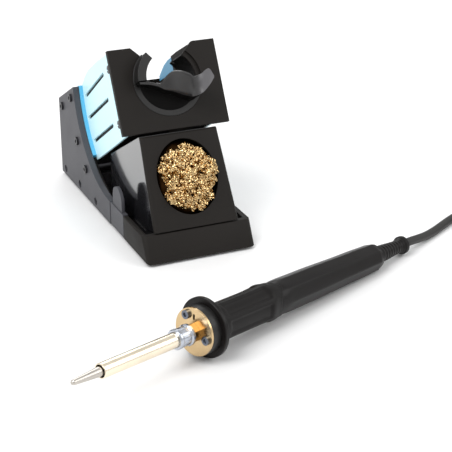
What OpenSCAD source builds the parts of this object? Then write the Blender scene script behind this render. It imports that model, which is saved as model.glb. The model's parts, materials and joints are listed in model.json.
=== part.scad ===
// Soldering iron station: a holder stand with a tilting cradle, a pull-out tray with a
// brass wool box, and a soldering iron on its lead that lies in front of the stand.
// Origin: middle of the stand's footprint, on the table. +X right, +Y back, +Z up.

/* [Stand] */
// Width of the stand across its side walls
stand_w = 64; // [62:1:68]
// Depth of the stand from the tray's front edge to the back
stand_l = 154; // [152:1:160]
// Thickness of each side wall
wall_t = 3.6; // [3:0.2:4]
// Height of the back edge of the side walls
wall_back_h = 50; // [46:1:52]
// Height of the side walls' top corner
wall_top_h = 66; // [64:1:68]
// Lean of every front face from vertical
lean = 28.5; // [28:0.5:29]

/* [Cradle] */
// Height of the cradle's turning centre above the table
pivot_h = 78; // [77:0.5:79]
// Radius of the curved cut in the side walls
wall_arc_r = 62.4; // [62:0.2:62.6]
// Largest tilt of the cradle
cradle_tilt = 24; // [0:1:24]
// Width of the head plate
head_w = 63; // [60:1:64]
// Height of the head plate along its slope
head_l = 47.6; // [46:0.2:48]
// Thickness of the head plate
head_t = 3; // [2.4:0.2:3]
// Radius of the round seat in the head plate
seat_r = 20.2; // [19.8:0.1:20.6]

/* [Wool box] */
// Width of the box front at its top
box_top_w = 45.3; // [44:0.5:46]
// Width of the box front at its foot
box_foot_w = 50; // [48:0.5:50]
// Height of the box front along its slope
box_l = 51.7; // [50:0.5:52]
// Depth of the box from the tray's front edge to its back
box_back = 84.5; // [80:0.5:84.5]
// Wall thickness of the box
box_t = 2; // [1.6:0.2:2.4]

/* [Tray] */
// Height of the tray's rim
tray_h = 15.4; // [14:0.2:16]
// Depth of the tray from its front edge to its back seam
tray_l = 39; // [38:0.5:39.5]

/* [Iron] */
// Radius of the guard flange
flange_r = 15; // [14:0.5:16]
// Length in front of the flange, to the point of the tip
iron_front = 81.6; // [80:0.2:84]
// Distance from the flange to the end of the rear handle
handle_end = 131.5; // [130:0.5:134]
// Outer radius of the barrel
barrel_r = 3.7; // [3.6:0.1:3.8]
// Radius of the brass end plate
plate_r = 11.9; // [11.5:0.1:12]
// Turn of the iron about the vertical
iron_yaw = 22.7; // [22.7:0.1:22.8]

/* [Lead] */
// Diameter of the lead
lead_d = 4.8; // [4.6:0.1:4.8]
// Turns of the lead in its coil
coil_turns = 6.5; // [6.5:1:6.5]

/* [Hidden] */
$fn = 64;

dark = [0.16, 0.15, 0.14];
grey = [0.30, 0.30, 0.33];
cyan = [0.62, 0.88, 0.98];
brass = [0.78, 0.60, 0.28];
zinc = [0.72, 0.72, 0.74];
rubber = [0.12, 0.12, 0.12];

foot_h = 1.5;                       // everything stands on feet this high
side_x = stand_w / 2;               // outer face of a side wall
inner_x = side_x - wall_t;          // inner face of a side wall
pivot_y = 62;                       // turning centre, measured from the tray's front edge
seam_front = 39.3;                  // seam between the tray and the release tab
seam_back = 61.2;                   // seam between the release tab and the side wall
wall_top_y = pivot_y + sqrt(pow(wall_arc_r, 2) - pow(pivot_h - wall_top_h, 2));
panel_foot_z = tray_h + 0.8;        // foot of the box's front panel
guide_r = wall_arc_r + 3.1;         // inner radius of the guides that carry the cradle
rib_r = guide_r - 0.3;              // outer radius of the cradle's ribs
cheek_x = 25.7;                     // outer face of the cradle's cheeks
cheek_t = 2.5;
slack = 0.3;                        // running gap between moving pieces
head_y = 57.7;                      // top edge of the head plate's face
head_z = 105.9;
skin_t = 1.3;                       // the cyan cheeks; the rest of cheek_t is the frame inside
slots = [[-6.6, 5.6, 41], [-21.2, 3.2, 43], [-36.2, 2.8, 40.5]];   // place up the slope, tilt, length
slot_u = 33.2;                      // where the slots start, behind the head plate
slot_r = 1.2;
seat_w = 20.1;                      // centre of the seat, down the head plate
pivot_u = (pivot_y - head_y) * cos(lean) + (head_z - pivot_h) * sin(lean);
pivot_v = (pivot_y - head_y) * sin(lean) - (head_z - pivot_h) * cos(lean);
box_y = 32.7;                       // top edge of the box front's face
box_z = 63;
wall_screws = [[146.9, 46.9], [128.3, 57.8], [118.6, 33.4], [103.7, 20.4]];
foot_screws = [[146, 5.5], [118, 5.5], [88, 5.5]];
shield_screws = [6.8, 38.2];        // down the head plate
shield_back = 18.7;                 // behind the head plate
flange_t = 2;
handle_tip_r = 7;
rest_tilt = atan((flange_r - handle_tip_r) / (handle_end - flange_t / 2));
rest_h = flange_r * cos(rest_tilt) + flange_t / 2 * sin(rest_tilt);
iron_at = [-40.7, -175.9];          // guard flange, on the table
relief_l = 26.9;

lead_r = lead_d / 2;
coil_at = [200, -108];
coil_out = 36;                      // outermost turn's centreline
coil_in = 20.4;
connector_at = [192.7, -150.7, 7];
connector_yaw = 204;
lead_route = [
    [105, -114.8, 5.4], [109, -113.1, 5.1], [113, -111.4, 4.6], [118, -109.1, 3.8],
    [123, -106.7, 3.1], [128, -104.1, 2.6], [134, -100.8, 2.4], [140, -97.3, 2.4],
    [146, -93.7, 2.4], [152, -90.4, 2.4], [159, -86.9, 2.4], [166, -83.6, 2.4],
    [172, -80.9, 2.4], [178, -78.3, 2.4], [182, -76.6, 2.4]
];
tail_route = [
    [210.9, -142.5, 7.2], [207, -144.3, 7.1], [203.5, -145.8, 7.1],
    [200, -147.4, 7], [196.3, -149, 7], [192.7, -150.7, 7]
];

// ---------- places and helpers ----------

// Stand pieces are drawn with Y measured back from the tray's front edge.
module at_stand() translate([0, -stand_l / 2, 0]) children();

// A leaning face: X right, Y up the slope, Z out of the face, from its top edge's middle.
module at_face(y, z) at_stand() translate([0, y, z]) rotate([90 - lean, 0, 0]) children();

module at_head() at_face(head_y, head_z) children();

module at_box() at_face(box_y, box_z) children();

// A plate in the YZ plane, from x0 to x1.
module side_plate(x0, x1) translate([x0, 0, 0]) rotate([90, 0, 90]) linear_extrude(x1 - x0) children();

// A round bar along X, from x0 to x1, at [y, z].
module bar_x(x0, x1, at, r) translate([x0, at.x, at.y]) rotate([0, 90, 0]) cylinder(h = x1 - x0, r = r);

// The iron lies on its guard flange and on the end of its handle: X runs back along it.
module at_iron() translate([iron_at.x, iron_at.y, rest_h]) rotate([0, rest_tilt, iron_yaw]) children();

// A turned piece along X, from [radius, place] points.
module turned(outline) rotate([0, 90, 0]) rotate_extrude() polygon(outline);

// A sleeve along X from s0 to s1.
module sleeve(s0, s1, r_out, r_in) translate([s0, 0, 0]) rotate([0, 90, 0]) difference() {
    cylinder(h = s1 - s0, r = r_out);
    translate([0, 0, -1]) cylinder(h = s1 - s0 + 2, r = r_in);
}

module both_sides() {
    children();
    mirror([1, 0, 0]) children();
}

function arc(centre, r, a0, a1, steps) =
    [for (i = [0 : steps]) let (a = a0 + (a1 - a0) * i / steps) centre + r * [cos(a), sin(a)]];

// A ring about the cradle's turning centre, between two angles below the horizontal.
module pivot_ring(r0, r1, a0, a1) intersection() {
    translate([pivot_y, pivot_h]) difference() {
        circle(r = r1, $fn = 160);
        circle(r = r0, $fn = 160);
    }
    polygon([[pivot_y, pivot_h], [pivot_y + 90 * cos(a0), pivot_h - 90 * sin(a0)],
        [pivot_y + 90 * cos((a0 + a1) / 2), pivot_h - 90 * sin((a0 + a1) / 2)],
        [pivot_y + 90 * cos(a1), pivot_h - 90 * sin(a1)]]);
}

// ---------- stand ----------

module wall_outline() difference() {
    polygon([
        [seam_back + slack, foot_h], [stand_l, foot_h], [stand_l, wall_back_h],
        [wall_top_y, wall_top_h], [seam_back + slack, wall_top_h]
    ]);
    translate([pivot_y, pivot_h]) circle(r = wall_arc_r, $fn = 160);
}

module side_wall() at_stand() difference() {
    side_plate(inner_x, side_x) wall_outline();
    for (at = wall_screws) bar_x(inner_x - 1, side_x + 1, at, 1.6);
    for (at = foot_screws) bar_x(inner_x - 1, side_x + 1, at, 2.4);
}

module left_side_wall() color(grey) mirror([1, 0, 0]) side_wall();

module right_side_wall() color(grey) side_wall();

module base_plate() color(dark) at_stand() difference() {
    union() {
        translate([-inner_x, 62, foot_h]) cube([2 * inner_x, stand_l - 64.5, 2.5]);
        both_sides() for (at = foot_screws)
            translate([inner_x - 5, at.x - 4, foot_h + 2.5]) cube([5, 8, 5]);
    }
    both_sides() for (at = foot_screws) bar_x(inner_x - 7, inner_x + 1, at, 1.3);
}

module cover_outline() polygon([
    [131.5, 55], [131.5, 61.6], [stand_l, wall_back_h - 1], [stand_l, foot_h],
    [stand_l - 2.5, foot_h], [stand_l - 2.5, wall_back_h - 2.5], [134, 57.4], [134, 55]
]);

module rear_cover() color(dark) at_stand() side_plate(-inner_x, inner_x) cover_outline();

module base_weight() color(zinc) at_stand()
    translate([-20, 113, foot_h + 2.5]) cube([40, 30, 8]);

// Anti-slip mat stuck under the base plate.
module stand_mat() color(rubber) at_stand() translate([-26, 66, 0]) cube([52, 84, foot_h]);

// Button head screw from the outside of the right wall, with a hexagonal socket.
module wall_screw(at) difference() {
    union() {
        bar_x(side_x, side_x + 1.3, at, 2.5);
        bar_x(side_x - 8, side_x, at, 1.5);
    }
    translate([side_x + 0.4, at.x, at.y]) rotate([0, 90, 0]) cylinder(h = 2, r = 1.3, $fn = 6);
}

module side_wall_screws() color(dark) at_stand() both_sides() for (at = wall_screws) wall_screw(at);

module cross_spacers() color(dark) at_stand() for (at = wall_screws) difference() {
    bar_x(-inner_x, inner_x, at, 2.2);
    both_sides() bar_x(side_x - 9, inner_x + 1, at, 1.5);
}

module base_screws() color(dark) at_stand() both_sides() for (at = foot_screws) difference() {
    union() {
        bar_x(inner_x, side_x - 0.6, at, 2.35);
        bar_x(inner_x - 5, inner_x, at, 1.25);
    }
    translate([side_x - 1.6, at.x, at.y]) rotate([0, 90, 0]) cylinder(h = 2, r = 1.1, $fn = 6);
}

// Curved rails inside the side walls that carry the cradle's ribs.
module cradle_guides() color(dark) at_stand() both_sides() side_plate(26, inner_x)
    pivot_ring(guide_r, guide_r + 1.4, 14, 76);

// A bent leaf spring under the cradle that clicks into its four tilts.
module detent_spring() color(zinc) at_stand() side_plate(-5, 5) polygon(concat(
    [[112, 4]], arc([92, 7.3], 3.3, 270, 90, 12), [[98, 17], [104, 15.4], [103.8, 14.8], [98.2, 16.3]],
    arc([92, 7.3], 2.7, 90, 270, 12), [[112, 4.6]]
));

// A springy side latch with a finger tab; it bends inward at its foot.
module release_tab() at_stand() {
    side_plate(28.8, side_x - 0.2) polygon([
        [seam_front + 0.3, foot_h + 0.3], [seam_back - 0.3, foot_h + 0.3],
        [seam_back - 0.3, tray_h + 0.2], [seam_front + 0.3, tray_h + 0.2]
    ]);
    side_plate(29.4, 31.2) polygon(concat(
        [[43, tray_h]], [[58, tray_h]], arc([50.5, 20.9], 7.5, 0, 180, 24)
    ));
    for (k = [0 : 5]) side_plate(28.8, 29.4)
        translate([44.4 + 2.2 * k, tray_h]) square([1.2, 8]);
}

module release_tab_left() color(dark) mirror([1, 0, 0]) release_tab();

module release_tab_right() color(dark) release_tab();

// ---------- cradle ----------

// Cheek outline in the leaning frame: u runs back from the head plate, v up the slope.
module cheek_outline() difference() {
    intersection() {
        polygon([
            [head_t, -head_l + 1.8], [90, -head_l - 2.4], [90, -8], [76, -2.4], [68, 0.6], [60, 2],
            [40, 2.6], [20, 2.1], [head_t, 0]
        ]);
        translate([pivot_u, pivot_v]) circle(r = rib_r - 0.4, $fn = 160);
    }
}

// The cyan cheeks have three long slots.
module slotted_outline() difference() {
    cheek_outline();
    for (q = slots) translate([slot_u, q.x]) rotate([0, 0, -q.y]) slot(0, q.z, 0, slot_r);
}

// A slot with round ends, from u0 to u1 at height v.
module slot(u0, u1, v, r) {
    translate([u0, v - r]) square([u1 - u0, 2 * r]);
    for (u = [u0, u1]) translate([u, v]) circle(r = r, $fn = 24);
}

// The leaning side frame, from x0 to x1: u back, v up the slope.
module cheek_plate(x0, x1) at_head() translate([x0, 0, 0]) rotate([0, 90, 0])
    linear_extrude(x1 - x0) children();

module shield_screw_holes() for (v = shield_screws) at_head()
    translate([-40, -v, -shield_back]) rotate([0, 90, 0]) cylinder(h = 80, r = 1.4);

module cradle() color(cyan) difference() {
    union() {
        both_sides() cheek_plate(cheek_x - skin_t, cheek_x) slotted_outline();
        at_stand() both_sides() side_plate(cheek_x - 0.1, inner_x - slack)
            pivot_ring(wall_arc_r, rib_r, 11, 51);
    }
    shield_screw_holes();
}

// Dark frame that joins the two cheeks: two inner plates and a curved web below.
module cradle_frame() color(dark) difference() {
    union() {
        both_sides() cheek_plate(cheek_x - cheek_t, cheek_x - skin_t) difference() {
            cheek_outline();
            translate([50, -7]) square([50, 20]);
        }
        at_stand() side_plate(-cheek_x + skin_t, cheek_x - skin_t)
            pivot_ring(wall_arc_r, rib_r, 30, 43);
    }
    shield_screw_holes();
}

module head_outline() difference() {
    translate([-head_w / 2, -head_l]) square([head_w, head_l]);
    polygon([[-18.2, 1], [-18.2, 0], [-12.2, -6], [-12.2, -12], [12.2, -12], [12.2, -6], [18.2, 0], [18.2, 1]]);
}

module head_plate() color(dark) at_head() difference() {
    translate([0, 0, -head_t]) linear_extrude(head_t) head_outline();
    translate([0, -seat_w, -head_t - 1]) cylinder(h = head_t + 2, r = seat_r - 2.8);
    translate([0, -seat_w, -1.2]) cylinder(h = 3, r = seat_r);
}

// A flared scoop with a saddle, clipped into the seat's ring. Each scoop point is [right, up, out] from the seat's centre.
scoop_rim = [
    [-19, -0.7, 8], [-13.8, -1.2, 8], [-8, -2.9, 8.5], [-4.5, 0, 12], [-1.5, 1.5, 15], [2, 0.4, 17.5],
    [6, -1.5, 18], [9, -3.2, 18], [13, -2, 18], [18, 0.4, 18], [20.5, -3.8, 17.5]
];
scoop_low = [
    [-19, -1.7, 7.5], [-13.8, -2.6, 7.5], [-9, -4.2, 7.5], [-5, -6.5, 7], [-0.5, -8, 7], [4, -10.3, 7.5],
    [7, -11.6, 8], [10, -12.3, 8], [14.5, -11.4, 10], [18.5, -8, 13], [20.5, -4.8, 17]
];
scoop_n = len(scoop_rim) - 1;
scoop_t = 1.4;                      // wall of the scoop
scoop_turn = [0.7, 0.3, 0, 0, 0, 0, 0, 0.1, 0.4, 1, 1];   // how far the wall is measured inward, not back

// Six points around the scoop's wall at each step: rim, foot on the ring, and back inside.
function scoop_ring(i) =
    let (low = scoop_low[i], across = norm([low.x, low.y]), out = [low.x, low.y] / across,
        foot = min(max(17, across), 19.3) * out, q = scoop_turn[i],
        back = -scoop_t * [q * out.x, q * out.y, 1 - q])
    [scoop_rim[i], low, [foot.x, foot.y, 1.8], [foot.x + back.x, foot.y + back.y, 0.4],
     low + back, scoop_rim[i] + back];

module funnel_scoop() color(rubber) at_head() translate([0, -seat_w, 0]) polyhedron(
    points = [for (i = [0 : scoop_n]) each scoop_ring(i)],
    faces = concat(
        [for (q = [[0, 1, 4], [0, 4, 5], [1, 2, 3], [1, 3, 4]]) each [q, [for (k = [2 : -1 : 0]) q[k] + 6 * scoop_n]]],
        [for (i = [0 : scoop_n - 1]) for (k = [0 : 5]) let (a = 6 * i + k, b = 6 * i + (k + 1) % 6)
            each [[a, a + 6, b + 6], [a, b + 6, b]]]
    )
);

module ring_sector(r0, r1, a0, a1) polygon(concat(arc([0, 0], r1, a0, a1, 40), arc([0, 0], r0, a1, a0, 40)));

// Seat insert, open at the top: a ring with a raised left arm.
module funnel_insert() color(rubber) at_head() translate([0, -seat_w, 0]) {
    translate([0, 0, -1.2]) linear_extrude(1.4) ring_sector(14.7, seat_r - 0.1, 128, 347);
    linear_extrude(8) ring_sector(14.8, seat_r - 0.6, 129, 180);
}

// Tube behind the seat, open at the top, which runs on as a half-round trough.
// It has lugs for the four cradle screws.
module heat_shield() color(dark) at_head() difference() {
    union() {
        translate([0, -seat_w, -23]) linear_extrude(23 - head_t) ring_sector(17.4, 18.8, 131, 409);
        translate([0, -seat_w, -36]) linear_extrude(36 - head_t) ring_sector(17.4, 18.8, 180, 360);
        both_sides() for (v = shield_screws) translate([17.3, -v - 3, -shield_back - 3])
            cube([cheek_x - cheek_t - 17.3, 6, 6]);
        both_sides() translate([17.4, -38.2, -shield_back - 3]) cube([1.4, 31.4, 6]);
    }
    for (v = shield_screws) translate([-40, -v, -shield_back]) rotate([0, 90, 0]) cylinder(h = 80, r = 1.2);
}

module cradle_screws() color(dark) at_head() both_sides() for (v = shield_screws)
    translate([0, -v, -shield_back]) rotate([0, 90, 0]) difference() {
        union() {
            translate([0, 0, cheek_x]) cylinder(h = 1.2, r = 2.3);
            translate([0, 0, 18]) cylinder(h = cheek_x - 18, r = 1.2);
        }
        translate([-2.5, -0.35, cheek_x + 0.7]) cube([5, 0.7, 1]);
    }

// ---------- tray and wool box ----------

tray_floor = 4.2;                   // top of the tray's floor
tray_wall = 3.2;
tray_rake = 0.88;                   // the tray's front leans a little less than the box

module tray_outline() polygon([
    [-0.2, foot_h], [tray_l, foot_h], [tray_l, tray_h], [tray_h * tan(lean) * tray_rake, tray_h]
]);

// An open trough round the foot of the box, with a tongue back into the stand.
module front_tray() color(dark) at_stand() difference() {
    union() {
        side_plate(-side_x, side_x) tray_outline();
        translate([-27, tray_l - 3, foot_h + 0.3]) cube([54, 21, tray_floor - foot_h - 0.3]);
    }
    translate([-side_x + tray_wall, 11, tray_floor])
        cube([2 * (side_x - tray_wall), tray_l, tray_h]);
}

module tray_feet() color(rubber) at_stand() both_sides() translate([22, 9, 0]) cylinder(h = foot_h, r = 5);

// Side outline of the box behind its front panel: leaning front, upright back, rounded top.
box_side_x = 22.8;
back_r = 5;                         // rounding of the box's top back edge
box_rise = 0.4;                     // the box's top stands this far above its front panel
panel_t = 2.2;                      // thickness of the front panel
function box_front_y(z, behind) = box_y + behind / cos(lean) - (box_z - z) * tan(lean);
function box_top_z(y) = box_z + box_rise / cos(lean) - (y - box_y) * tan(lean);
function box_round_z() = box_top_z(box_back - back_r * (1 - sin(lean))) - back_r * cos(lean);

module box_outline() polygon(concat(
    [[box_front_y(panel_foot_z + 0.3, panel_t), panel_foot_z + 0.3], [13.5, panel_foot_z + 0.3],
     [13.5, tray_floor], [box_back, tray_floor]],
    arc([box_back - back_r, box_round_z()], back_r, 0, 90 - lean, 8),
    [[box_y + panel_t * cos(lean) + box_rise * sin(lean), box_z - panel_t * sin(lean) + box_rise * cos(lean)]]
));

// The box behind its front panel: hollow, open to the front.
module wool_box_body() color(dark) at_stand() difference() {
    side_plate(-box_side_x, box_side_x) box_outline();
    side_plate(-box_side_x + box_t, box_side_x - box_t) polygon([
        [9, 18], [16, 18], [16, tray_floor + box_t], [box_back - box_t, tray_floor + box_t],
        [box_back - box_t, box_round_z()], [box_back - back_r, box_round_z() + back_r - box_t],
        [box_front_y(60, 0), 59.6], [box_front_y(18, 0), 18]
    ]);
}

module oval(w, h) polygon([for (i = [0 : 71]) [w / 2 * cos(5 * i), h / 2 * sin(5 * i)]]);

module front_outline(inset) polygon([
    [-box_top_w / 2 + inset, -inset], [-box_foot_w / 2 + inset, -box_l - 4],
    [box_foot_w / 2 - inset, -box_l - 4], [box_top_w / 2 - inset, -inset]
]);

// The front panel, bevelled at its sides and cut level at its foot.
module wool_box_front() color(dark) difference() {
    at_box() difference() {
        hull() {
            translate([0, 0, -panel_t]) linear_extrude(1.2) front_outline(0);
            translate([0, 0, -0.1]) linear_extrude(0.1) front_outline(0.9);
        }
        translate([0, -25, -5]) linear_extrude(8) oval(35.4, 42.4);
    }
    at_stand() translate([-40, -20, 0]) cube([80, 60, panel_foot_z]);
}

module brass_wool() color(brass) at_box() translate([0, -25, -2.3]) {
    difference() {
        hull() {
            linear_extrude(3) oval(34.4, 41.4);
            translate([0, 0, 5]) linear_extrude(1) oval(26, 32);
        }
        translate([-40, -40, -2]) cube([80, 80, 2]);
    }
    translate([-19, -21, -30]) cube([38, 42, 30]);
}

module box_screws() color(zinc) at_stand() both_sides() for (z = [12, 24])
    translate([16.5, box_back, z]) rotate([-90, 0, 0]) cylinder(h = 1.2, r = 2.2);

// ---------- iron ----------

module handle_section(s, r) translate([s, 0, 0]) rotate([0, 90, 0]) rotate([0, 0, 22.5]) cylinder(h = 0.1, r = r, $fn = 8);

module rear_handle() color(rubber) at_iron() difference() {
    union() {
        hull() {
            handle_section(44, 8.9);
            handle_section(handle_end - 3, handle_tip_r + 0.55);
            handle_section(handle_end - 0.1, handle_tip_r - 1.2);
        }
        turned([[0, 1], [7.8, 1], [7.8, 46], [0, 46]]);
    }
    turned([[0, 0], [6.2, 0], [6.2, 118], [0, 118]]);
    turned([[0, 100], [3, 100], [3, handle_end + 1], [0, handle_end + 1]]);
    turned([[0, handle_end - 5], [4.3, handle_end - 5], [4.3, handle_end + 1], [0, handle_end + 1]]);
}

module grip() color(rubber) at_iron() difference() {
    turned([[7.8, 1], [10.2, 1], [10.6, 4], [9.7, 14], [9.6, 34], [9.9, 43], [9, 49], [7.8, 49]]);
    for (k = [0 : 7]) rotate([45 * k, 0, 0]) translate([16, -1.6, 9.1]) cube([20, 3.2, 3]);
    hull() {
        translate([44, -9, -9]) cube([0.1, 18, 18]);
        translate([50, -9, -9]) cube([0.1, 18, 18]);
    }
}

module guard_flange() color(rubber) at_iron()
    turned([[6.4, -1], [flange_r - 0.3, -1], [flange_r, -0.7], [flange_r, 1], [7.8, 1], [6.4, 1]]);

module front_carrier() color(rubber) at_iron()
    turned([[6.4, -1], [6.4, -3], [10.4, -3], [10.4, -6.2], [12, -6.2], [12, -1]]);

// [angle, radius] of the screws on the end plate
plate_screw_at = [[98, 8.6], [-33, 9]];

module on_plate(a, r) rotate([a, 0, 0]) translate([0, 0, r]) children();

module brass_plate() color(brass) at_iron() difference() {
    sleeve(-7.4, -6.2, plate_r, 3.7);
    for (q = plate_screw_at) on_plate(q.x, q.y) rotate([0, 90, 0]) cylinder(h = 30, r = 1.05, center = true);
    on_plate(200, 7.8) rotate([0, 90, 0]) cylinder(h = 30, r = 1, center = true);
    on_plate(-2, 7.6) translate([-10, -0.6, -1.4]) cube([20, 1.2, 2.8]);
}

module plate_screws() color(zinc) at_iron() for (q = plate_screw_at) on_plate(q.x, q.y)
    rotate([0, 90, 0]) difference() {
        union() {
            translate([0, 0, -8.7]) cylinder(h = 1.3, r = 2.2);
            translate([0, 0, -7.4]) cylinder(h = 4, r = 1);
        }
        translate([0, 0, -9.2]) cylinder(h = 1.2, r = 1.2, $fn = 6);
    }

module hex_stub() color(brass) at_iron() rotate([0, 90, 0]) difference() {
    union() {
        translate([0, 0, -11]) cylinder(h = 3.6, r = 4.9, $fn = 6);
        translate([0, 0, -7.4]) cylinder(h = 4.4, r = 3.6);
        translate([0, 0, -16]) cylinder(h = 5, r = 3.6);
    }
    translate([0, 0, -20]) cylinder(h = 20, r = 2.3);
}

module heater() color("white") at_iron() turned([[0, 12], [0, -58], [1.8, -58], [2.1, -57], [2.1, 12]]);

module contact_board() color("darkgreen") at_iron() translate([12.2, -5, -0.8]) cube([30, 10, 1.6]);

module cable_clamp() color(zinc) at_iron() sleeve(108, 114, 5.4, lead_r + 0.05);

// Tapered bend relief with a bead at its outer end.
module strain_relief() color(rubber) at_iron() turned([
    [lead_r, handle_end - 5], [4.25, handle_end - 5], [4.25, handle_end], [4.7, handle_end],
    [4.7, handle_end + 3], [3.9, handle_end + 21], [4.9, handle_end + 22], [5.1, handle_end + 23.6],
    [4.9, handle_end + 25.2], [3.6, handle_end + relief_l], [lead_r, handle_end + relief_l]
]);

module barrel() color(brass) at_iron() turned([
    [3.1, -65.2], [3.6, -65.2], [barrel_r, -65], [barrel_r, -18.6], [4.3, -18.6], [4.3, -17.4],
    [3.1, -17.4]
]);

module tip() color(zinc) at_iron() turned([
    [0, -iron_front], [0.8, -iron_front + 0.2], [1.3, -iron_front + 1], [1.5, -iron_front + 3],
    [2.35, -66], [2.4, -62], [3, -61], [3, -40], [2.25, -40], [2.25, -59], [0, -59]
]);

module union_nut() color(zinc) at_iron() difference() {
    turned([
        [3.8, -20.2], [4.6, -20.2], [5, -19.6], [5, -18.4], [4.7, -18], [4.7, -13], [5.3, -12.4], [5.3, -11.2],
        [3.75, -11.2], [3.75, -16.6], [4.4, -16.6], [4.4, -19], [3.8, -19]
    ]);
    for (k = [0 : 11]) rotate([30 * k, 0, 0]) translate([-17.6, -0.35, 4.45]) cube([4.2, 0.7, 2]);
}

// ---------- lead and its connector ----------

// Rings of a round tube swept along a route.
tube_sides = 8;
function heading(route, i) =
    let (n = len(route) - 1, d = route[min(i + 1, n)] - route[max(i - 1, 0)]) d / norm(d);
function ring_at(route, i, r) =
    let (t = heading(route, i), side = cross(t, [0, 0, 1]) / norm(cross(t, [0, 0, 1])), up = cross(side, t))
    [for (k = [0 : tube_sides - 1]) let (a = 360 * (k + 0.5) / tube_sides)
        route[i] + r * (cos(a) * side + sin(a) * up)];

module tube(route, r) {
    n = len(route) - 1;
    polyhedron(
        points = [for (i = [0 : n]) each ring_at(route, i, r)],
        faces = concat(
            [[for (k = [0 : tube_sides - 1]) k]],
            [[for (k = [tube_sides - 1 : -1 : 0]) n * tube_sides + k]],
            [for (i = [0 : n - 1]) for (k = [0 : tube_sides - 1]) let (m = (k + 1) % tube_sides)
                [i * tube_sides + k, (i + 1) * tube_sides + k, (i + 1) * tube_sides + m, i * tube_sides + m]]
        )
    );
}

module cable() color(rubber) {
    tube(lead_route, lead_r);
    tube(tail_route, lead_r);
}

module at_coil() translate([coil_at.x, coil_at.y, 0]) children();

module cable_coil() color(rubber) at_coil() rotate_extrude($fn = 96)
    translate([coil_in - lead_r, 0]) square([coil_out - coil_in + lead_d, 2 * lead_d]);

module coil_tie() color(dark) at_coil() rotate([0, 0, 200]) rotate_extrude(angle = 14, $fn = 96)
    difference() {
        translate([coil_in - lead_r - 1.2, 0]) square([coil_out - coil_in + lead_d + 2.4, 2 * lead_d + 1.2]);
        translate([coil_in - lead_r, -1]) square([coil_out - coil_in + lead_d, 2 * lead_d + 1]);
    }

module at_connector() translate(connector_at) rotate([0, 0, connector_yaw]) children();

module connector_boot() color(rubber) at_connector()
    turned([[0, 0], [3.2, 0], [5.2, 14], [0, 14]]);

module connector_shell() color(zinc) at_connector()
    turned([[0, 14], [6, 14], [6.6, 15], [6.6, 34], [5.6, 34], [5.6, 22], [0, 22]]);

module connector_ring() color(zinc) at_connector()
    turned([[6.6, 24], [7, 24.4], [7, 31.6], [6.6, 32]]);

module connector_insert() color(dark) at_connector() turned([[0, 22], [5.6, 22], [5.6, 27], [0, 27]]);

module connector_pins() color(brass) at_connector() for (k = [0 : 4])
    rotate([72 * k, 0, 0]) translate([27, 0, 3.4]) rotate([0, 90, 0]) cylinder(h = 6, r = 0.5);

// ---------- pieces ----------

left_side_wall();
right_side_wall();
base_plate();
rear_cover();
base_weight();
stand_mat();
side_wall_screws();
cross_spacers();
base_screws();
cradle_guides();
detent_spring();
release_tab_left();
release_tab_right();
cradle();
cradle_frame();
head_plate();
funnel_insert();
funnel_scoop();
heat_shield();
cradle_screws();
front_tray();
tray_feet();
wool_box_body();
wool_box_front();
brass_wool();
box_screws();
rear_handle();
grip();
guard_flange();
front_carrier();
brass_plate();
plate_screws();
hex_stub();
heater();
contact_board();
cable_clamp();
strain_relief();
barrel();
tip();
union_nut();
cable();
cable_coil();
coil_tie();
connector_boot();
connector_shell();
connector_ring();
connector_insert();
connector_pins();
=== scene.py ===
"""Soldering iron station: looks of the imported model, its lead, and a plain studio."""
import json
import math
import random

import bmesh
import bpy
from mathutils import Matrix, Vector


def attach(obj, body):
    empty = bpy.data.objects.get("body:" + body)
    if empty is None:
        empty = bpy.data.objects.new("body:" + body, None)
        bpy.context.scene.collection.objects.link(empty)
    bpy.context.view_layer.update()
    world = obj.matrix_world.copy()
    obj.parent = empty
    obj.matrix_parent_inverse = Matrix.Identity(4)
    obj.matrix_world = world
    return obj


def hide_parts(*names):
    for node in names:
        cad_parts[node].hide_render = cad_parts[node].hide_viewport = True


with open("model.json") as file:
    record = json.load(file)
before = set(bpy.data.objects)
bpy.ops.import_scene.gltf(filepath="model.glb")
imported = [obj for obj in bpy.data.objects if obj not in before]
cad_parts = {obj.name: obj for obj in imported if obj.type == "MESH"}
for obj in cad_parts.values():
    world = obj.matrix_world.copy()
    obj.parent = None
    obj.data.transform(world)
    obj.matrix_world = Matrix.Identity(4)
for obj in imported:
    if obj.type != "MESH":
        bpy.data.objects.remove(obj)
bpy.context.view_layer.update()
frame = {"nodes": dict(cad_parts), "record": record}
MM = 0.001
HALF_L = 77                          # half the stand's length: its Y is measured from the tray's front edge


# ---------------------------------------------------------------- camera

def place_camera():
    """A long lens looks down at the stand from its front left."""
    azimuth, elevation, distance = math.radians(-23.84), math.radians(24.0), 0.71186
    target = Vector((13.88, -77.0, 17.01)) * MM
    back = Vector((
        math.sin(azimuth) * math.cos(elevation),
        -math.cos(azimuth) * math.cos(elevation),
        math.sin(elevation),
    ))
    data = bpy.data.cameras.new("camera")
    data.sensor_width = 36.0
    data.lens = 103.54
    data.clip_end = 20.0
    camera = bpy.data.objects.new("camera", data)
    camera.location = target + back * distance
    camera.rotation_euler = (-back).to_track_quat("-Z", "Y").to_euler()
    bpy.context.scene.collection.objects.link(camera)
    bpy.context.scene.camera = camera


place_camera()


# ---------------------------------------------------------------- lead

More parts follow.
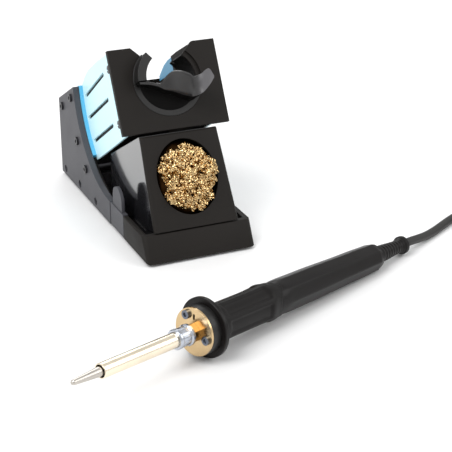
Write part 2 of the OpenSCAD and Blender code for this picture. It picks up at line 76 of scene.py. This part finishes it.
LEAD_D = 4.8
COIL_AT = (200.0, -108.0)
COIL_OUT, COIL_IN = 36.0, 20.4
COIL_TURNS, COIL_START = 6.5, 114.0
LEAD_ROUTE = [
    (105, -114.8, 5.4), (109, -113.1, 5.1), (113, -111.4, 4.6), (118, -109.1, 3.8),
    (123, -106.7, 3.1), (128, -104.1, 2.6), (134, -100.8, 2.4), (140, -97.3, 2.4),
    (146, -93.7, 2.4), (152, -90.4, 2.4), (159, -86.9, 2.4), (166, -83.6, 2.4),
    (172, -80.9, 2.4), (178, -78.3, 2.4), (182, -76.6, 2.4),
]
TAIL_ROUTE = [
    (210.9, -142.5, 7.2), (207, -144.3, 7.1), (203.5, -145.8, 7.1),
    (200, -147.4, 7.0), (196.3, -149, 7.0), (192.7, -150.7, 7.0),
]


def coil_points(steps_per_turn=36):
    """Two flat spirals, one on the other: in along the table, up, and out again."""
    points, half = [], COIL_TURNS / 2
    count = int(COIL_TURNS * steps_per_turn)
    for i in range(count + 1):
        t = i / steps_per_turn
        r = COIL_IN + (COIL_OUT - COIL_IN) * abs(t - half) / half
        climb = min(max((t - half + 0.11) / 0.22, 0.0), 1.0)
        z = LEAD_D * (0.5 + climb * climb * (3 - 2 * climb))
        a = math.radians(COIL_START - 360 * t)
        points.append((COIL_AT[0] + r * math.cos(a), COIL_AT[1] + r * math.sin(a), z))
    return points


def smooth(points, steps=4):
    """A Catmull-Rom curve through the points."""
    p = [Vector(q) for q in points]
    p = [2 * p[0] - p[1]] + p + [2 * p[-1] - p[-2]]
    out = []
    for i in range(1, len(p) - 2):
        for k in range(steps):
            t = k / steps
            out.append(0.5 * (
                2 * p[i] + (p[i + 1] - p[i - 1]) * t
                + (2 * p[i - 1] - 5 * p[i] + 4 * p[i + 1] - p[i + 2]) * t ** 2
                + (3 * p[i] - p[i - 1] - 3 * p[i + 1] + p[i + 2]) * t ** 3
            ))
    out.append(p[-2])
    return out


def make_lead():
    """The lead as one closed tube along its route, its coil and its tail."""
    path = smooth(LEAD_ROUTE + coil_points() + TAIL_ROUTE, 2)
    curve = bpy.data.curves.new("lead", "CURVE")
    curve.dimensions = "3D"
    curve.bevel_depth = LEAD_D / 2 * MM
    curve.bevel_resolution = 6
    curve.use_fill_caps = True
    spline = curve.splines.new("POLY")
    spline.points.add(len(path) - 1)
    for point, at in zip(spline.points, path):
        point.co = (*(at * MM), 1.0)
    line = bpy.data.objects.new("lead_line", curve)
    bpy.context.scene.collection.objects.link(line)
    bpy.context.view_layer.update()
    mesh = bpy.data.meshes.new_from_object(line.evaluated_get(bpy.context.evaluated_depsgraph_get()))
    bpy.data.objects.remove(line)
    bm = bmesh.new()
    bm.from_mesh(mesh)
    bmesh.ops.remove_doubles(bm, verts=bm.verts, dist=0.001 * MM)
    bm.to_mesh(mesh)
    bm.free()
    mesh.shade_smooth()
    lead = bpy.data.objects.new("lead", mesh)
    bpy.context.scene.collection.objects.link(lead)
    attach(lead, "iron")
    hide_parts("cable", "cable_coil")
    return lead


lead = make_lead()


# ---------------------------------------------------------------- detailed pieces

LEAN = math.radians(28.5)
FLANGE_R, FLANGE_T = 15, 2           # the iron lies on its guard flange
HANDLE_TIP_R, HANDLE_END = 7, 131.5  # and on the end of its handle
REST_TILT = math.atan((FLANGE_R - HANDLE_TIP_R) / (HANDLE_END - FLANGE_T / 2))
REST_H = FLANGE_R * math.cos(REST_TILT) + FLANGE_T / 2 * math.sin(REST_TILT)


def leaning(y, z, v=0.0):
    """A leaning face of the stand: X right, Y up its slope, Z out of it; v mm along the slope."""
    return (Matrix.Translation((0, y - HALF_L, z)) @ Matrix.Rotation(math.pi / 2 - LEAN, 4, "X")
            @ Matrix.Translation((0, v, 0)))


AT_SEAT = leaning(57.7, 105.9, -20.1)
AT_BOX = leaning(32.7, 63.0, -25.0)
AT_IRON = (Matrix.Translation((-40.7, -175.9, REST_H)) @ Matrix.Rotation(math.radians(22.7), 4, "Z")
           @ Matrix.Rotation(REST_TILT, 4, "Y"))


def piece(name, verts, faces, place, body, slot, *nodes, angle=35):
    """A mesh piece in mm at a place, on a body, standing for CAD nodes."""
    mesh = bpy.data.meshes.new(name)
    mesh.from_pydata([tuple((place @ Vector(v)) * MM) for v in verts], [], faces)
    bm = bmesh.new()
    bm.from_mesh(mesh)
    bmesh.ops.recalc_face_normals(bm, faces=bm.faces)
    bm.to_mesh(mesh)
    bm.free()
    mesh.shade_smooth()
    mesh.set_sharp_from_angle(angle=math.radians(angle))
    obj = bpy.data.objects.new(name, mesh)
    bpy.context.scene.collection.objects.link(obj)
    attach(obj, body)
    if nodes:
        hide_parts(*nodes)
    return obj


def loft(rings, caps=True):
    """Closed rings of equal length, joined into a skin."""
    n = len(rings[0])
    verts = [v for ring in rings for v in ring]
    faces = [(i * n + k, i * n + (k + 1) % n, (i + 1) * n + (k + 1) % n, (i + 1) * n + k)
             for i in range(len(rings) - 1) for k in range(n)]
    if caps:
        faces += [tuple(range(n)), tuple((len(rings) - 1) * n + k for k in reversed(range(n)))]
    return verts, faces


def blend_step(x, a, b):
    """0 before a, 1 after b, and a soft step between."""
    t = min(max((x - a) / (b - a), 0.0), 1.0)
    return t * t * (3 - 2 * t)


def between(table, x):
    """A smooth value between (place, value) pairs."""
    for (x0, y0), (x1, y1) in zip(table, table[1:]):
        if x <= x1:
            return y0 + (y1 - y0) * blend_step(x, x0, x1)
    return table[-1][1]


def around(r_of, s_of, n=96):
    """A ring about the iron's axis: radius and place along it, by angle."""
    return [(s_of(a), r_of(a) * math.cos(a), r_of(a) * math.sin(a))
            for a in (2 * math.pi * k / n for k in range(n))]


def make_grip():
    """The grip: a collar, six long sunk panels with raised borders, and a scalloped rear end."""
    count, steps = 96, 70
    body = [(1, 10.1), (2.2, 10.7), (4, 10.7), (6, 9.9), (12, 9.7), (30, 9.6), (42, 9.9), (49, 9.2)]
    rings = []
    for i in range(steps + 1):
        s = 1 + 48 * i / steps

        def radius(a, s=s):
            off = abs((math.degrees(a) + 30) % 60 - 30)
            along = min(blend_step(s, 7.5, 9.5), 1 - blend_step(s, 38, 41))
            panel = (1 - blend_step(off, 19, 23)) * along
            border = (math.exp(-((off - 25.5) / 2.4) ** 2)
                      * min(blend_step(s, 6, 8), 1 - blend_step(s, 41, 46)))
            return between(body, s) - 0.75 * panel + 0.25 * border

        def place(a, s=s):
            scallop = 4.2 * abs(math.sin(1.5 * a)) ** 1.4
            return s - scallop * blend_step(s, 30, 49)

        rings.append(around(radius, place))
    inner = [around(lambda a: 8.2, lambda a: 49 - 4.2 * abs(math.sin(1.5 * a)) ** 1.4 - 0.4),
             around(lambda a: 8.0, lambda a: 1.0)]
    verts, faces = loft(rings + inner, caps=False)
    last = (len(rings) + 1) * count
    faces += [(k, last + k, last + (k + 1) % count, (k + 1) % count) for k in range(count)]
    return piece("grip_skin", verts, faces, AT_IRON, "iron", "grip_rubber", "grip", angle=50)


def make_handle():
    """The rear handle: a rounded octagon that tapers back, with a softly domed end."""
    body = [
        (43.4, 8.1), (46, 8.6), (52, 8.9), (70, 8.7),
        (110, 7.9), (127.5, 7.5), (130.3, 6.9), (HANDLE_END, 5.4),
    ]

    def ring(s, shrink=0.0):
        def radius(a):
            turn = (math.degrees(a)) % 45 - 22.5
            octagon = math.cos(math.radians(22.5)) / math.cos(math.radians(turn)) + 0.035
            sharp = 0.85 * blend_step(s, 46, 58) * (1 - blend_step(s, 128, HANDLE_END))
            return (between(body, s) - shrink) * (1 + sharp * (octagon - 1))
        return around(radius, lambda a: s)

    rings = [ring(43.4 + 84 * i / 60) for i in range(61)]
    rings += [ring(127.4 + 4.1 * math.sin(math.pi / 2 * i / 10)) for i in range(1, 11)]
    rings += [around(lambda a: 4.4, lambda a: HANDLE_END), around(lambda a: 4.2, lambda a: 127.0)]
    verts, faces = loft(rings)
    return piece("handle_skin", verts, faces, AT_IRON, "iron", "handle_plastic", "rear_handle", angle=40)


def make_relief():
    """The bend relief: shallow rings on a taper, then a bead and a short collar."""
    body = [
        (126.6, 4.2), (131.4, 4.25), (132.2, 4.8), (134.5, 4.7), (151.5, 3.75),
        (153, 4.3), (154.2, 5.05), (156, 5.0), (157.4, 4.0), (158.4, 3.1),
    ]
    ribbed_from, ribbed_to, pitch, depth, steps = 134.5, 151.5, 2.43, 0.28, 110
    rings = []
    for i in range(steps + 1):
        s = 126.6 + 31.8 * i / steps
        r = between(body, s)
        if ribbed_from < s < ribbed_to:
            r -= depth * (0.5 - 0.5 * math.cos(2 * math.pi * (s - ribbed_from) / pitch)) ** 2
        rings.append(around(lambda a, r=r: r, lambda a, s=s: s, 48))
    verts, faces = loft(rings)
    return piece("relief_skin", verts, faces, AT_IRON, "iron", "grip_rubber", "strain_relief", angle=60)


SCOOP_RIM = [
    (-19, -0.7, 8), (-13.8, -1.2, 8), (-8, -2.9, 8.5), (-4.5, 0, 12), (-1.5, 1.5, 15), (2, 0.4, 17.5),
    (6, -1.5, 18), (9.4, -3, 17), (14.1, -1.5, 15), (19.1, 0.9, 15), (21, -3.6, 16.2),
]
SCOOP_LOW = [
    (-19, -1.7, 7.5), (-13.8, -2.6, 7.5), (-9, -4.2, 7.5), (-5, -6.5, 7), (-0.5, -8, 7), (4, -10.3, 7.5),
    (7, -11.6, 8), (9, -12.7, 10.5), (12.6, -12.2, 15), (17.4, -8.5, 16), (20.8, -4.7, 16.4),
]


SCOOP_ACROSS, SCOOP_LIP = 15, 7       # points down the scoop, and how many of its rows are the lip's


def make_scoop():
    """The seat's scoop: a curved lip with a saddle, and its foot running back to the ring."""
    rim, low = smooth(SCOOP_RIM, 6), smooth(SCOOP_LOW, 6)
    front, across = [], SCOOP_ACROSS
    for a, b in zip(rim, low):
        flat = Vector((b.x, b.y, 0))
        foot = flat.normalized() * min(max(17.0, flat.length), 19.3) + Vector((0, 0, 0.4))
        under = flat.normalized() * min(max(flat.length, 7.0) + 0.6, 18.6) + Vector((0, 0, 0.9))
        row = []
        for k in range(across):
            t = k / (across - 1)
            if t < 0.5:
                row.append(a.lerp(b, t / 0.5 * 0.96))
            else:
                u = (t - 0.5) / 0.5
                row.append(b.lerp(under, u / 0.7) if u < 0.7 else under.lerp(foot, (u - 0.7) / 0.3))
        front.append(row)
    verts = [v for row in front for v in row]
    faces = [(i * across + k, (i + 1) * across + k, (i + 1) * across + k + 1, i * across + k + 1)
             for i in range(len(front) - 1) for k in range(across - 1)]
    scoop = piece("scoop_skin", verts, faces, AT_SEAT, "cradle", "satin_black", "funnel_scoop", angle=60)
    wall = scoop.modifiers.new("wall", "SOLIDIFY")
    wall.thickness, wall.offset = 1.3 * MM, -1.0
    edge = scoop.modifiers.new("edge", "BEVEL")
    edge.width, edge.segments, edge.limit_method = 0.3 * MM, 2, "ANGLE"
    edge.angle_limit = math.radians(50)
    return scoop


def make_wool():
    """Brass wool: curled turnings of flat ribbon over a rumpled core."""
    ribbons = 1050
    rng = random.Random(11)

    def dome(x, y):
        d = math.hypot(x / 17.0, y / 20.5)
        lump = 0.9 * math.sin(0.55 * x + 1.3) * math.cos(0.43 * y) + 0.7 * math.sin(0.9 * y - 0.4 * x)
        return 3.2 * (1 - d ** 4) + lump + 2.2 * blend_step(x, 6, 16) * blend_step(y, -14, -2)

    verts, faces = [], []
    count = 0
    while count < ribbons:
        x, y = rng.uniform(-17, 17), rng.uniform(-20.4, 20.4)
        d = math.hypot(x / 16.6, y / 20.0)
        ragged = (0.93 + 0.06 * math.sin(5 * math.atan2(y, x) + 1)
                  - 0.10 * (y > 15) - 0.07 * (x < -12 and abs(y + 1) < 5))
        if d > ragged:
            continue
        count += 1
        deep = rng.random() < 0.35
        z = dome(x, y) - (rng.uniform(1.8, 3.4) if deep else rng.uniform(-0.4, 1.2))
        axis = Vector((rng.gauss(0, 1), rng.gauss(0, 1), rng.gauss(0, 0.45))).normalized()
        e1 = axis.orthogonal().normalized()
        e2 = axis.cross(e1)
        r, width = rng.uniform(0.7, 1.45), rng.uniform(0.45, 0.75)
        turns, pitch = rng.uniform(0.9, 2.4), rng.uniform(0.9, 1.6)
        start, wave = rng.uniform(0, 6.28), rng.uniform(0, 6.28)
        steps = max(8, int(turns * 11))
        base = len(verts)
        for i in range(steps + 1):
            t = turns * i / steps
            a = start + 2 * math.pi * t
            q = r * (1 + 0.16 * math.sin(2.3 * a + wave))
            out = e1 * math.cos(a) + e2 * math.sin(a)
            at = Vector((x, y, z)) + axis * pitch * (t - turns / 2) + out * q
            lean = axis * width / 2 + out * 0.12 * math.sin(a + wave)
            verts += [at - lean, at + lean]
        faces += [(k, k + 1, k + 3, k + 2) for k in range(base, base + 2 * steps, 2)]
    curls = piece("wool_curls", verts, faces, AT_BOX, "tray", "brass_wool", "brass_wool", angle=180)

    # the rumpled core under the curls; its dark brown colour, given in finish_nodes, is painted shade
    verts, faces, rows, cols = [(0, 0, 1.2)], [], 16, 48
    for i in range(1, rows + 1):
        for k in range(cols):
            a, d = 2 * math.pi * k / cols, i / rows
            x, y = 17.4 * d * math.cos(a), 20.9 * d * math.sin(a)
            sunk = min(dome(x, y), 3.2) - 3.4 + rng.uniform(-0.5, 0.5)
            verts.append((x, y, sunk - (3.5 if i == rows else 0)))
    faces += [(0, 1 + k, 1 + (k + 1) % cols) for k in range(cols)]
    for i in range(1, rows):
        inner, rib_shade = 1 + (i - 1) * cols, 1 + i * cols
        faces += [(inner + k, rib_shade + k, rib_shade + (k + 1) % cols, inner + (k + 1) % cols) for k in range(cols)]
    core = piece("wool_core", verts, faces, AT_BOX, "tray", "brass_wool", angle=180)
    return curls, core


def make_tray():
    """The tray: rounded front corners, soft edges, and an open trough round the box."""
    foot, top, length, half_w, rake = 1.5, 15.4, 39.0, 32.0, 0.88
    well_w, well_from, well_floor = 57.6, 11, 4.2
    side = [(-0.2, foot), (length, foot), (length, top), (top * math.tan(LEAN) * rake, top)]
    mesh = bpy.data.meshes.new("tray_skin")
    bm = bmesh.new()
    ends = [[bm.verts.new(Vector((x, y - HALF_L, z)) * MM) for y, z in side] for x in (-half_w, half_w)]
    bm.faces.new(ends[0])
    bm.faces.new(list(reversed(ends[1])))
    for k in range(4):
        bm.faces.new((ends[0][k], ends[1][k], ends[1][(k + 1) % 4], ends[0][(k + 1) % 4]))
    bmesh.ops.recalc_face_normals(bm, faces=bm.faces)
    front = (9 - HALF_L) * MM        # no corner of the front edges lies behind this
    corners = [e for e in bm.edges if all(v.co.y < front for v in e.verts)
               and abs(e.verts[0].co.x - e.verts[1].co.x) < 1e-6]
    bmesh.ops.bevel(bm, geom=corners, offset=2.6 * MM, segments=6, profile=0.5, affect="EDGES")
    bm.to_mesh(mesh)
    bm.free()
    tray = bpy.data.objects.new("tray_skin", mesh)
    bpy.context.scene.collection.objects.link(tray)

    cut = bpy.data.meshes.new("tray_cut")
    bm = bmesh.new()
    bmesh.ops.create_cube(bm, size=1.0)
    for v in bm.verts:
        v.co = Vector((
            v.co.x * well_w,
            well_from + (v.co.y + 0.5) * 40 - HALF_L,
            well_floor + (v.co.z + 0.5) * 20,
        )) * MM
    bm.to_mesh(cut)
    bm.free()
    cutter = bpy.data.objects.new("tray_cut", cut)
    bpy.context.scene.collection.objects.link(cutter)
    trough = tray.modifiers.new("trough", "BOOLEAN")
    trough.operation, trough.object, trough.solver = "DIFFERENCE", cutter, "EXACT"
    edge = tray.modifiers.new("edge", "BEVEL")
    edge.width, edge.segments = 0.55 * MM, 3
    edge.limit_method, edge.angle_limit = "ANGLE", math.radians(40)
    bpy.context.view_layer.update()
    done = bpy.data.meshes.new_from_object(tray.evaluated_get(bpy.context.evaluated_depsgraph_get()))
    tray.modifiers.clear()
    tray.data = done
    bpy.data.objects.remove(cutter)
    done.shade_smooth()
    done.set_sharp_from_angle(angle=math.radians(35))

    tongue_v = [(x, y - HALF_L, z) for x in (-27, 27) for y in (36.5, 57) for z in (1.8, well_floor)]
    quads = [(0, 1, 3, 2), (4, 6, 7, 5), (0, 4, 5, 1), (2, 3, 7, 6), (0, 2, 6, 4), (1, 5, 7, 3)]
    tongue = piece("tray_tongue", tongue_v, quads, Matrix.Identity(4), "tray", "black_plastic")
    edge = tongue.modifiers.new("edge", "BEVEL")
    edge.width, edge.segments = 0.4 * MM, 2
    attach(tray, "tray")
    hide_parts("front_tray")
    return tray, tongue


grip, handle, relief = make_grip(), make_handle(), make_relief()
scoop = make_scoop()
curls, core = make_wool()
tray, tongue = make_tray()


# ---------------------------------------------------------------- materials

def linear(srgb):
    """A colour as seen, in the scene's linear light."""
    return [c / 12.92 if c <= 0.04045 else ((c + 0.055) / 1.055) ** 2.4 for c in srgb]


class Finish:
    """A node material under construction, in the object's own space, in metres."""

    def __init__(self, name):
        self.mat = bpy.data.materials.new(name)
        self.mat.use_nodes = True
        self.nodes, self.links = self.mat.node_tree.nodes, self.mat.node_tree.links
        self.shader = next(n for n in self.nodes if n.type == "BSDF_PRINCIPLED")
        self.coords = self.nodes.new("ShaderNodeTexCoord").outputs["Object"]
        self.normal = None

    def set(self, **values):
        for key, value in values.items():
            self.shader.inputs[key.replace("_", " ")].default_value = value
        return self

    def noise(self, scale, detail=4.0, stretch=None):
        at = self.coords
        if stretch:
            mapping = self.nodes.new("ShaderNodeMapping")
            mapping.inputs["Scale"].default_value = stretch
            self.links.new(at, mapping.inputs["Vector"])
            at = mapping.outputs["Vector"]
        node = self.nodes.new("ShaderNodeTexNoise")
        node.inputs["Scale"].default_value = scale
        node.inputs["Detail"].default_value = detail
        self.links.new(at, node.inputs["Vector"])
        return node.outputs["Fac"]

    def ramp(self, value, *stops):
        node = self.nodes.new("ShaderNodeValToRGB")
        while len(node.color_ramp.elements) < len(stops):
            node.color_ramp.elements.new(0.5)
        for element, (at, colour) in zip(node.color_ramp.elements, stops):
            element.position = at
            element.color = (*colour, 1.0) if len(colour) == 3 else colour
        self.links.new(value, node.inputs["Fac"])
        return node.outputs["Color"]

    def mix(self, factor, a, b):
        node = self.nodes.new("ShaderNodeMix")
        node.data_type = "RGBA"
        for socket, value in ((node.inputs[0], factor), (node.inputs[6], a), (node.inputs[7], b)):
            if hasattr(value, "links"):
                self.links.new(value, socket)
            else:
                socket.default_value = value
        return node.outputs[2]

    def maths(self, operation, a, b):
        node = self.nodes.new("ShaderNodeMath")
        node.operation = operation
        self.links.new(a, node.inputs[0])
        node.inputs[1].default_value = b
        return node.outputs[0]

    def place_x(self):
        split = self.nodes.new("ShaderNodeSeparateXYZ")
        self.links.new(self.coords, split.inputs[0])
        return split.outputs["X"]

    def colour(self, output):
        self.links.new(output, self.shader.inputs["Base Color"])
        return self

    def rough(self, value, low, high):
        node = self.nodes.new("ShaderNodeMapRange")
        node.inputs["To Min"].default_value = low
        node.inputs["To Max"].default_value = high
        self.links.new(value, node.inputs["Value"])
        self.links.new(node.outputs["Result"], self.shader.inputs["Roughness"])
        return self

    def soften(self, radius):
        """Rounds the edges of a plain CAD solid in its shading."""
        node = self.nodes.new("ShaderNodeBevel")
        node.samples = 6
        node.inputs["Radius"].default_value = radius
        self.normal = node.outputs["Normal"]
        self.links.new(self.normal, self.shader.inputs["Normal"])
        return self

    def bump(self, height, strength, distance):
        node = self.nodes.new("ShaderNodeBump")
        node.inputs["Strength"].default_value = strength
        node.inputs["Distance"].default_value = distance
        self.links.new(height, node.inputs["Height"])
        if self.normal:
            self.links.new(self.normal, node.inputs["Normal"])
        self.normal = node.outputs["Normal"]
        self.links.new(self.normal, self.shader.inputs["Normal"])
        return self


def moulded(name, colour, rough, grain=1400.0, depth=0.00006, strength=0.5, coat=0.0, spec=0.5):
    """Moulded plastic: fine spark-eroded grain, slight patches of shade and of gloss."""
    c = linear(colour)
    f = Finish(name)
    f.soften(0.0004)
    patches = f.noise(45.0, 3.0)
    speckle = f.noise(grain * 1.6, 2.0)
    shade = f.ramp(patches, (0.3, [0.90 * v for v in c]), (0.7, [min(1.06 * v, 1) for v in c]))
    dark = f.mix(0.12, shade, (0.0, 0.0, 0.0, 1.0))
    f.colour(f.mix(speckle, dark, shade))
    f.rough(f.noise(70.0, 5.0), rough - 0.05, rough + 0.06)
    f.bump(f.noise(grain, 3.0), strength, depth)
    f.set(Coat_Weight=coat, Coat_Roughness=0.1, Specular_IOR_Level=spec)
    return f.mat


def painted_sheen(name, plain_tone, sheen_tone, start, end):
    """Satin black plastic with a painted sheen: blended paler from start to end along X, where the scoop's
    facet catches the light.
    """
    f = Finish(name)
    f.soften(0.0003)
    blend = f.nodes.new("ShaderNodeMapRange")
    blend.interpolation_type = "SMOOTHSTEP"
    blend.inputs["From Min"].default_value = start
    blend.inputs["From Max"].default_value = end
    f.links.new(f.place_x(), blend.inputs["Value"])
    patches = f.noise(45.0, 3.0)
    tones = [f.ramp(patches, (0.3, [0.92 * v for v in linear(c)]), (0.7, linear(c)))
             for c in (plain_tone, sheen_tone)]
    f.colour(f.mix(blend.outputs["Result"], *tones))
    f.rough(f.noise(70.0, 5.0), 0.29, 0.40)
    f.bump(f.noise(1200.0, 3.0), 0.25, 0.00003)
    f.set(Specular_IOR_Level=0.6)
    return f.mat


def painted_shade_tones(name, inside_shade, inner, rib_shade, limits):
    """Satin plastic of one colour with painted shade: deeper tones inside the cheeks and on the ribs, the
    plain tone on the cheeks.
    """
    f = Finish(name)
    f.soften(0.0004)
    side = f.maths("ABSOLUTE", f.place_x(), 0.0)
    patches = f.noise(45.0, 3.0)
    tones = [f.ramp(patches, (0.3, [0.96 * v for v in linear(c)]), (0.7, linear(c)))
             for c in (inside_shade, inner, rib_shade)]
    cheek = f.mix(f.maths("GREATER_THAN", side, limits[0]), tones[0], tones[1])
    f.colour(f.mix(f.maths("GREATER_THAN", side, limits[1]), cheek, tones[2]))
    f.rough(f.noise(70.0, 5.0), 0.36, 0.48)
    f.bump(f.noise(900.0, 3.0), 0.2, 0.00003)
    return f.mat


def metal(name, colour, rough, grain=(1, 1, 1), scale=900.0):
    """Bare or plated metal: fine directional marks and a little tarnish."""
    c = linear(colour)
    f = Finish(name)
    f.soften(0.0002)
    marks = f.noise(scale, 6.0, grain)
    tarnish = f.noise(60.0, 5.0)
    f.colour(f.ramp(tarnish, (0.25, [0.82 * v for v in c]), (0.7, c)))
    f.rough(marks, rough - 0.07, rough + 0.12)
    f.bump(marks, 0.4, 0.00002)
    f.set(Metallic=1.0)
    return f.mat


FINISHES = {
    "wall_plastic": moulded("wall_plastic", (0.27, 0.27, 0.29), 0.50, 1500.0, 0.00007, 0.5, spec=0.44),
    "black_plastic": moulded("black_plastic", (0.108, 0.095, 0.084), 0.58, 1600.0, 0.00005, 0.5, spec=0.20),
    "gloss_black": moulded("gloss_black", (0.12, 0.12, 0.13), 0.10, 400.0, 0.00001, 0.06, coat=1.0, spec=0.8),
    "satin_black": moulded("satin_black", (0.115, 0.112, 0.110), 0.40, 1200.0, 0.00003, 0.25, spec=0.4),
    # painted sheen: the scoop's right facet is coloured paler as if lit, over a plain satin black
    "scoop_black": painted_sheen("scoop_black", (0.115, 0.110, 0.112), (0.33, 0.325, 0.335), 9.5 * MM, 15.0 * MM),
    # painted shade: near-black for the scoop's foot, where the lip shades the recess
    "recess_painted_shade": moulded("recess_painted_shade", (0.045, 0.042, 0.040), 0.60, 1200.0, 0.00003, 0.25, spec=0.06),
    "handle_plastic": moulded("handle_plastic", (0.074, 0.064, 0.062), 0.34, 900.0, 0.00003, 0.25, spec=0.20),
    # painted shade: the deeper blues inside the cheeks (under 24.45 mm) and on the ribs (past 25.75 mm) stand
    # in for shade
    "cyan_plastic": painted_shade_tones("cyan_plastic", (0.36, 0.66, 0.82), (0.82, 0.965, 1.0), (0.36, 0.72, 0.88),
                               (24.45 * MM, 25.75 * MM)),
    "grip_rubber": moulded("grip_rubber", (0.072, 0.063, 0.060), 0.42, 2200.0, 0.00004, 0.4, spec=0.18),
    "foot_rubber": moulded("foot_rubber", (0.10, 0.10, 0.10), 0.75, 2400.0, 0.0001, 0.7),
    "lead_sheath": moulded("lead_sheath", (0.13, 0.125, 0.12), 0.50, 1800.0, 0.00004, 0.4),
    "tie": moulded("tie", (0.09, 0.09, 0.095), 0.85, 3000.0, 0.0002, 0.9),
    "steel": metal("steel", (0.74, 0.74, 0.76), 0.32, (1, 12, 1)),
    "dark_steel": moulded("dark_steel", (0.09, 0.088, 0.085), 0.55, 1000.0, 0.00003, 0.3, spec=0.3),
    "zinc": metal("zinc", (0.76, 0.78, 0.82), 0.20, (1, 1, 1)),
    "screw_steel": metal("screw_steel", (0.44, 0.46, 0.50), 0.22),
    "black_screw": metal("black_screw", (0.30, 0.30, 0.31), 0.34),
    "brass": metal("brass", (0.84, 0.73, 0.56), 0.22, (1, 1, 6)),
    "dark_brass": metal("dark_brass", (0.60, 0.49, 0.32), 0.20),
    "brass_wool": metal("brass_wool", (0.92, 0.79, 0.57), 0.20),
    # painted shade: dark brown for the wool's core, the shade in the gaps between the curls
    "wool_depth": metal("wool_depth", (0.20, 0.13, 0.06), 0.60),
    "barrel_metal": metal("barrel_metal", (0.97, 0.92, 0.83), 0.22, (1, 2, 14), 1400.0),
    "tip_metal": metal("tip_metal", (0.76, 0.74, 0.71), 0.30),
    "ceramic": moulded("ceramic", (0.90, 0.89, 0.86), 0.30, 1500.0),
    "board": moulded("board", (0.10, 0.32, 0.16), 0.35, 900.0),
    "chrome": metal("chrome", (0.86, 0.86, 0.88), 0.16),
}


def finish_nodes():
    """Gives every CAD node the finish of its slot, and every new piece its own."""
    slots = {s["node"]: s["material_slot"] for s in frame["record"]["subparts"]}
    for name, node in frame["nodes"].items():
        node.data.materials.clear()
        node.data.materials.append(FINISHES["screw_steel" if name == "plate_screws" else slots[name]])
    for obj, name in ((lead, "lead_sheath"), (grip, "grip_rubber"), (handle, "handle_plastic"),
                      (relief, "grip_rubber"), (scoop, "scoop_black"), (curls, "brass_wool"),
                      (core, "wool_depth"), (tray, "black_plastic"), (tongue, "black_plastic")):
        obj.data.materials.clear()
        obj.data.materials.append(FINISHES[name])
    # the scoop's rows past the lip get the near-black painted shade of the recess
    scoop.data.materials.append(FINISHES["recess_painted_shade"])
    for i, face in enumerate(scoop.data.polygons):
        face.material_index = int(i % (SCOOP_ACROSS - 1) >= SCOOP_LIP)


finish_nodes()


# ---------------------------------------------------------------- studio

def make_studio():
    """A white table, three large soft lights, and a dark flag behind for the metals to reflect."""
    bpy.ops.mesh.primitive_plane_add(size=8.0, location=(0, 0, -0.0001))
    floor = bpy.context.object
    floor.name = "floor"
    white = Finish("table_white")
    white.colour(white.ramp(white.noise(30.0), (0.3, (0.86, 0.86, 0.86)), (0.7, (0.88, 0.88, 0.88))))
    white.set(Roughness=0.6)
    floor.data.materials.append(white.mat)

    world = bpy.data.worlds.new("studio")
    world.use_nodes = True
    world.node_tree.nodes["Background"].inputs["Color"].default_value = (1.0, 1.0, 1.0, 1.0)
    world.node_tree.nodes["Background"].inputs["Strength"].default_value = 0.75
    scene = bpy.context.scene
    scene.world = world
    scene.view_settings.view_transform = "Standard"

    bm = bmesh.new()
    bmesh.ops.create_grid(bm, x_segments=1, y_segments=1, size=1.0)
    flag_mesh = bpy.data.meshes.new("flag")
    bm.to_mesh(flag_mesh)
    bm.free()
    flag = bpy.data.objects.new("flag", flag_mesh)
    flag.scale, flag.location = (3.0, 0.45, 1.0), (0.0, 2.4, 0.45)
    flag.rotation_euler = (math.pi / 2, 0, 0)
    scene.collection.objects.link(flag)
    grey = Finish("flag_grey")
    grey.colour(grey.ramp(grey.noise(3.0), (0.3, (0.03, 0.03, 0.03)), (0.7, (0.04, 0.04, 0.04))))
    grey.set(Roughness=0.9)
    flag_mesh.materials.append(grey.mat)

    for name, at, size, power in (
        ("key", (-0.9, -0.5, 1.3), 0.9, 16.0),
        ("fill", (1.1, -0.8, 0.9), 1.0, 7.0),
        ("back", (0.2, 1.2, 1.1), 1.0, 8.0),
    ):
        data = bpy.data.lights.new(name, "AREA")
        data.energy = power
        data.size = size
        light = bpy.data.objects.new(name, data)
        light.location = at
        light.rotation_euler = (-Vector(at)).to_track_quat("-Z", "Y").to_euler()
        scene.collection.objects.link(light)


make_studio()
